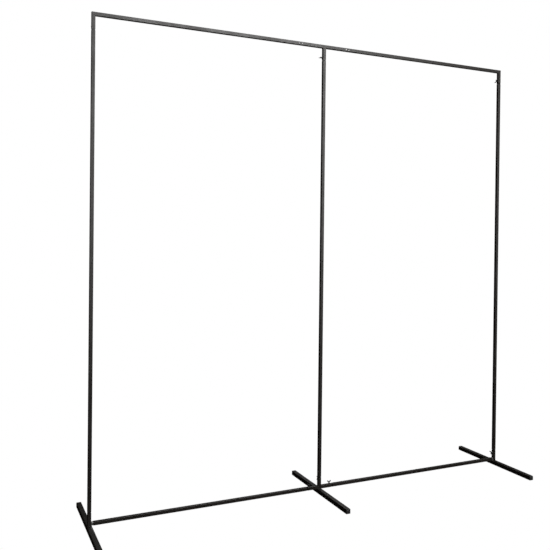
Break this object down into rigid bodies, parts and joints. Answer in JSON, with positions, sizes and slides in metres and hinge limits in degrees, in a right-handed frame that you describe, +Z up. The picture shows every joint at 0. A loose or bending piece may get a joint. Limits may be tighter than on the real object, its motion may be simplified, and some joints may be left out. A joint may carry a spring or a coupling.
{
  "type": "background support system",
  "caption": "Free-standing rectangular backdrop frame of black square tube: posts on cross feet, a top rail and a bottom rail, joined by spigots and wing screws.",
  "frame": {"origin": "on the floor under the centre post's axis, at the centre of the bounding box's underside", "axes": "+X along the frame to its right, +Y to its back along the feet, +Z up"},
  "size_m": [2.85, 0.726, 2.8],
  "materials": {
    "black_powder_coat": "satin black powder coat with a fine orange-peel texture",
    "zinc_plated_steel": "bright zinc plate on steel",
    "black_cap_plastic": "fine-grained moulded black plastic",
    "black_screw_head": "satin black coated die casting, worn on its edges"
  },
  "bodies": {
    "base": {"foot_bar_centre": "black_powder_coat", "foot_cap_centre_front": "black_cap_plastic", "foot_cap_centre_rear": "black_cap_plastic", "base_fitting_centre": "black_powder_coat", "bottom_rail_left": "black_powder_coat", "bottom_rail_right": "black_powder_coat", "bottom_rail_spigot_left": "zinc_plated_steel", "bottom_rail_spigot_right": "zinc_plated_steel"},
    "left_base": {"foot_bar_left": "black_powder_coat", "foot_cap_left_front": "black_cap_plastic", "foot_cap_left_rear": "black_cap_plastic", "base_fitting_left": "black_powder_coat"},
    "right_base": {"foot_bar_right": "black_powder_coat", "foot_cap_right_front": "black_cap_plastic", "foot_cap_right_rear": "black_cap_plastic", "base_fitting_right": "black_powder_coat"},
    "left_post": {"lower_post_left": "black_powder_coat", "upper_post_left": "black_powder_coat", "post_foot_spigot_left": "zinc_plated_steel", "post_middle_spigot_left": "zinc_plated_steel", "post_head_spigot_left": "zinc_plated_steel"},
    "centre_post": {"lower_post_centre": "black_powder_coat", "upper_post_centre": "black_powder_coat", "post_foot_spigot_centre": "zinc_plated_steel", "post_middle_spigot_centre": "zinc_plated_steel", "post_head_spigot_centre": "zinc_plated_steel"},
    "right_post": {"lower_post_right": "black_powder_coat", "upper_post_right": "black_powder_coat", "post_foot_spigot_right": "zinc_plated_steel", "post_middle_spigot_right": "zinc_plated_steel", "post_head_spigot_right": "zinc_plated_steel"},
    "top_rail": {"tee_fitting": "black_powder_coat", "top_rail_left": "black_powder_coat", "top_rail_right": "black_powder_coat", "top_rail_spigot_left_inner": "zinc_plated_steel", "top_rail_spigot_left_outer": "zinc_plated_steel", "top_rail_spigot_right_inner": "zinc_plated_steel", "top_rail_spigot_right_outer": "zinc_plated_steel"},
    "left_corner": {"corner_fitting_left": "black_powder_coat"},
    "right_corner": {"corner_fitting_right": "black_powder_coat"},
    "left_button": {"snap_button_left": "zinc_plated_steel"},
    "centre_button": {"snap_button_centre": "zinc_plated_steel"},
    "right_button": {"snap_button_right": "zinc_plated_steel"},
    "base_left_stud": {"wing_stud_base_left": "zinc_plated_steel"},
    "base_left_wing": {"wing_head_base_left": "black_screw_head"},
    "base_centre_stud": {"wing_stud_base_centre": "zinc_plated_steel"},
    "base_centre_wing": {"wing_head_base_centre": "black_screw_head"},
    "base_right_stud": {"wing_stud_base_right": "zinc_plated_steel"},
    "base_right_wing": {"wing_head_base_right": "black_screw_head"},
    "corner_left_stud": {"wing_stud_corner_left": "zinc_plated_steel"},
    "corner_left_wing": {"wing_head_corner_left": "black_screw_head"},
    "tee_stud": {"wing_stud_tee": "zinc_plated_steel"},
    "tee_wing": {"wing_head_tee": "black_screw_head"},
    "corner_right_stud": {"wing_stud_corner_right": "zinc_plated_steel"},
    "corner_right_wing": {"wing_head_corner_right": "black_screw_head"},
    "arm_left_stud": {"wing_stud_arm_left": "zinc_plated_steel"},
    "arm_left_wing": {"wing_head_arm_left": "black_screw_head"},
    "arm_right_stud": {"wing_stud_arm_right": "zinc_plated_steel"},
    "arm_right_wing": {"wing_head_arm_right": "black_screw_head"}
  },
  "joints": [
    {"name": "left_column_pull", "type": "slide", "parent": "base", "child": "left_base", "axis": [-1, 0, 0], "range_m": [0, 0.09]},
    {"name": "right_column_pull", "type": "slide", "parent": "base", "child": "right_base", "axis": [1, 0, 0], "range_m": [0, 0.09]},
    {"name": "centre_post_lift", "type": "slide", "parent": "base", "child": "centre_post", "axis": [0, 0, 1], "range_m": [0, 0.09]},
    {"name": "left_post_lift", "type": "slide", "parent": "left_base", "child": "left_post", "axis": [0, 0, 1], "range_m": [0, 0.09]},
    {"name": "right_post_lift", "type": "slide", "parent": "right_base", "child": "right_post", "axis": [0, 0, 1], "range_m": [0, 0.09]},
    {"name": "top_rail_lift", "type": "slide", "parent": "centre_post", "child": "top_rail", "axis": [0, 0, 1], "range_m": [0, 0.09]},
    {"name": "left_corner_pull", "type": "slide", "parent": "top_rail", "child": "left_corner", "axis": [-1, 0, 0], "range_m": [0, 0.09]},
    {"name": "right_corner_pull", "type": "slide", "parent": "top_rail", "child": "right_corner", "axis": [1, 0, 0], "range_m": [0, 0.09]},
    {"name": "left_button_press", "type": "slide", "parent": "left_post", "child": "left_button", "axis": [0, 1, 0], "range_m": [0, 0.0042], "stiffness_N_per_m": 1500, "springref_m": -0.003},
    {"name": "centre_button_press", "type": "slide", "parent": "centre_post", "child": "centre_button", "axis": [0, 1, 0], "range_m": [0, 0.0042], "stiffness_N_per_m": 1500, "springref_m": -0.003},
    {"name": "right_button_press", "type": "slide", "parent": "right_post", "child": "right_button", "axis": [0, 1, 0], "range_m": [0, 0.0042], "stiffness_N_per_m": 1500, "springref_m": -0.003},
    {"name": "base_left_screw_travel", "type": "slide", "parent": "left_base", "child": "base_left_stud", "axis": [0, 1, 0], "range_m": [0, 0.0023]},
    {"name": "base_left_screw_turn", "type": "hinge", "parent": "base_left_stud", "child": "base_left_wing", "pos_m": [-1.411, 0.01, 0.0843], "axis": [0, 1, 0], "range_deg": [0, 810]},
    {"name": "base_centre_screw_travel", "type": "slide", "parent": "base", "child": "base_centre_stud", "axis": [0, 1, 0], "range_m": [0, 0.0023]},
    {"name": "base_centre_screw_turn", "type": "hinge", "parent": "base_centre_stud", "child": "base_centre_wing", "pos_m": [0, 0.01, 0.0843], "axis": [0, 1, 0], "range_deg": [0, 810]},
    {"name": "base_right_screw_travel", "type": "slide", "parent": "right_base", "child": "base_right_stud", "axis": [-1, 0, 0], "range_m": [0, 0.0023]},
    {"name": "base_right_screw_turn", "type": "hinge", "parent": "base_right_stud", "child": "base_right_wing", "pos_m": [1.401, 0, 0.0843], "axis": [-1, 0, 0], "range_deg": [0, 810]},
    {"name": "corner_left_screw_travel", "type": "slide", "parent": "left_corner", "child": "corner_left_stud", "axis": [0, 1, 0], "range_m": [0, 0.0023]},
    {"name": "corner_left_screw_turn", "type": "hinge", "parent": "corner_left_stud", "child": "corner_left_wing", "pos_m": [-1.411, 0.01, 2.721], "axis": [0, 1, 0], "range_deg": [0, 810]},
    {"name": "tee_screw_travel", "type": "slide", "parent": "top_rail", "child": "tee_stud", "axis": [-1, 0, 0], "range_m": [0, 0.0023]},
    {"name": "tee_screw_turn", "type": "hinge", "parent": "tee_stud", "child": "tee_wing", "pos_m": [-0.01, 0, 2.721], "axis": [-1, 0, 0], "range_deg": [0, 810]},
    {"name": "corner_right_screw_travel", "type": "slide", "parent": "right_corner", "child": "corner_right_stud", "axis": [-1, 0, 0], "range_m": [0, 0.0023]},
    {"name": "corner_right_screw_turn", "type": "hinge", "parent": "corner_right_stud", "child": "corner_right_wing", "pos_m": [1.401, 0, 2.721], "axis": [-1, 0, 0], "range_deg": [0, 810]},
    {"name": "arm_left_screw_travel", "type": "slide", "parent": "base", "child": "arm_left_stud", "axis": [0, 0, 1], "range_m": [0, 0.0023]},
    {"name": "arm_left_screw_turn", "type": "hinge", "parent": "arm_left_stud", "child": "arm_left_wing", "pos_m": [-0.071, 0, 0.0483], "axis": [0, 0, 1], "range_deg": [0, 810]},
    {"name": "arm_right_screw_travel", "type": "slide", "parent": "base", "child": "arm_right_stud", "axis": [0, 0, 1], "range_m": [0, 0.0023]},
    {"name": "arm_right_screw_turn", "type": "hinge", "parent": "arm_right_stud", "child": "arm_right_wing", "pos_m": [0.071, 0, 0.0483], "axis": [0, 0, 1], "range_deg": [0, 810]}
  ],
  "couplings": [
    {"joint": "left_post_lift", "follows": "centre_post_lift", "ratio": 1},
    {"joint": "right_post_lift", "follows": "centre_post_lift", "ratio": 1},
    {"joint": "left_corner_pull", "follows": "left_column_pull", "ratio": 1},
    {"joint": "right_corner_pull", "follows": "right_column_pull", "ratio": 1},
    {"joint": "base_left_screw_travel", "follows": "base_left_screw_turn", "m_per_rad": 0.00015915},
    {"joint": "base_centre_screw_travel", "follows": "base_centre_screw_turn", "m_per_rad": 0.00015915},
    {"joint": "base_right_screw_travel", "follows": "base_right_screw_turn", "m_per_rad": 0.00015915},
    {"joint": "corner_left_screw_travel", "follows": "corner_left_screw_turn", "m_per_rad": 0.00015915},
    {"joint": "tee_screw_travel", "follows": "tee_screw_turn", "m_per_rad": 0.00015915},
    {"joint": "corner_right_screw_travel", "follows": "corner_right_screw_turn", "m_per_rad": 0.00015915},
    {"joint": "arm_left_screw_travel", "follows": "arm_left_screw_turn", "m_per_rad": 0.00015915},
    {"joint": "arm_right_screw_travel", "follows": "arm_right_screw_turn", "m_per_rad": 0.00015915}
  ]
}
